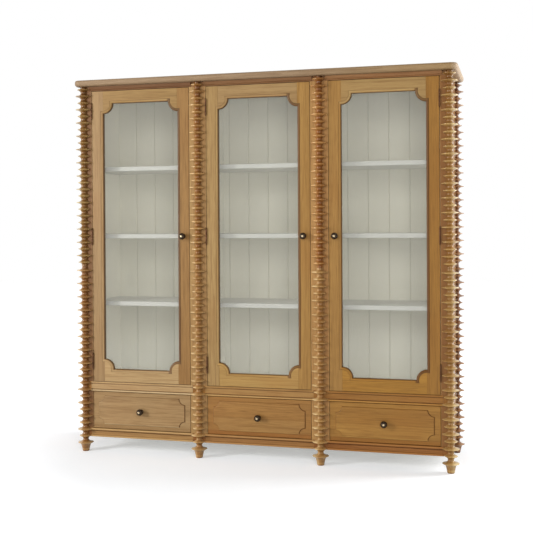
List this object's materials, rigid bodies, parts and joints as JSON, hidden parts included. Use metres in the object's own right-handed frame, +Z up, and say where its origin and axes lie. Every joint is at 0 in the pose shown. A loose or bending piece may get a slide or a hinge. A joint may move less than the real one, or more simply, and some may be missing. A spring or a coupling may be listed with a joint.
{
  "type": "glass door bookcase",
  "caption": "Wide free-standing pine bookcase with disc-turned posts, glazed doors with scooped corners over drawers with raised scooped fronts, and a pale painted shelved inside.",
  "frame": {"origin": "on the floor under the middle of the case's plan box", "axes": "+X along the width towards the right-hand end seen from the front, +Y towards the back, +Z up"},
  "size_m": [2.164, 0.5056, 2.128],
  "materials": {
    "post_pine": "waxed golden pine, turned",
    "frame_pine": "waxed golden pine, planed",
    "door_pine": "waxed golden pine, planed",
    "drawer_pine": "waxed golden pine, planed",
    "box_pine": "bare pale pine",
    "interior_paint": "painted pale grey-white, matt",
    "glass": "clear",
    "bronze": "darkened antique bronze"
  },
  "bodies": {
    "case": {"corner_post_left": "post_pine", "middle_post_left": "post_pine", "middle_post_right": "post_pine", "corner_post_right": "post_pine", "rear_post_left": "post_pine", "rear_post_right": "post_pine", "top_board": "frame_pine", "side_panel_left": "frame_pine", "side_panel_right": "frame_pine", "corner_stile_left": "frame_pine", "middle_stile_left": "frame_pine", "middle_stile_right": "frame_pine", "corner_stile_right": "frame_pine", "top_rail": "frame_pine", "middle_rail": "frame_pine", "bottom_rail": "frame_pine", "bottom_board": "interior_paint", "deck": "interior_paint", "shelf_lower": "interior_paint", "shelf_middle": "interior_paint", "shelf_upper": "interior_paint", "partition_left": "interior_paint", "partition_right": "interior_paint", "back_panel": "interior_paint", "hinge_left_bottom": "bronze", "hinge_left_middle": "bronze", "hinge_left_top": "bronze", "hinge_middle_bottom": "bronze", "hinge_middle_middle": "bronze", "hinge_middle_top": "bronze", "hinge_right_bottom": "bronze", "hinge_right_middle": "bronze", "hinge_right_top": "bronze"},
    "door_left": {"door_left_hinge_stile": "door_pine", "door_left_lock_stile": "door_pine", "door_left_top_rail": "door_pine", "door_left_bottom_rail": "door_pine", "door_left_glass": "glass", "door_left_knob": "bronze"},
    "door_middle": {"door_middle_hinge_stile": "door_pine", "door_middle_lock_stile": "door_pine", "door_middle_top_rail": "door_pine", "door_middle_bottom_rail": "door_pine", "door_middle_glass": "glass", "door_middle_knob": "bronze"},
    "door_right": {"door_right_hinge_stile": "door_pine", "door_right_lock_stile": "door_pine", "door_right_top_rail": "door_pine", "door_right_bottom_rail": "door_pine", "door_right_glass": "glass", "door_right_knob": "bronze"},
    "drawer_left": {"drawer_left_front": "drawer_pine", "drawer_left_box": "box_pine", "drawer_left_knob": "bronze"},
    "drawer_middle": {"drawer_middle_front": "drawer_pine", "drawer_middle_box": "box_pine", "drawer_middle_knob": "bronze"},
    "drawer_right": {"drawer_right_front": "drawer_pine", "drawer_right_box": "box_pine", "drawer_right_knob": "bronze"}
  },
  "joints": [
    {"name": "door_left_hinge", "type": "hinge", "parent": "case", "child": "door_left", "pos_m": [-0.9863, -0.21175, 1.23475], "axis": [0, 0, -1], "range_deg": [0, 120]},
    {"name": "door_middle_hinge", "type": "hinge", "parent": "case", "child": "door_middle", "pos_m": [-0.2953, -0.21175, 1.23475], "axis": [0, 0, -1], "range_deg": [0, 120]},
    {"name": "door_right_hinge", "type": "hinge", "parent": "case", "child": "door_right", "pos_m": [0.9863, -0.21175, 1.23475], "axis": [0, 0, 1], "range_deg": [0, 120]},
    {"name": "drawer_left_slide", "type": "slide", "parent": "case", "child": "drawer_left", "axis": [0, -1, 0], "range_m": [0, 0.3]},
    {"name": "drawer_middle_slide", "type": "slide", "parent": "case", "child": "drawer_middle", "axis": [0, -1, 0], "range_m": [0, 0.3]},
    {"name": "drawer_right_slide", "type": "slide", "parent": "case", "child": "drawer_right", "axis": [0, -1, 0], "range_m": [0, 0.3]}
  ]
}
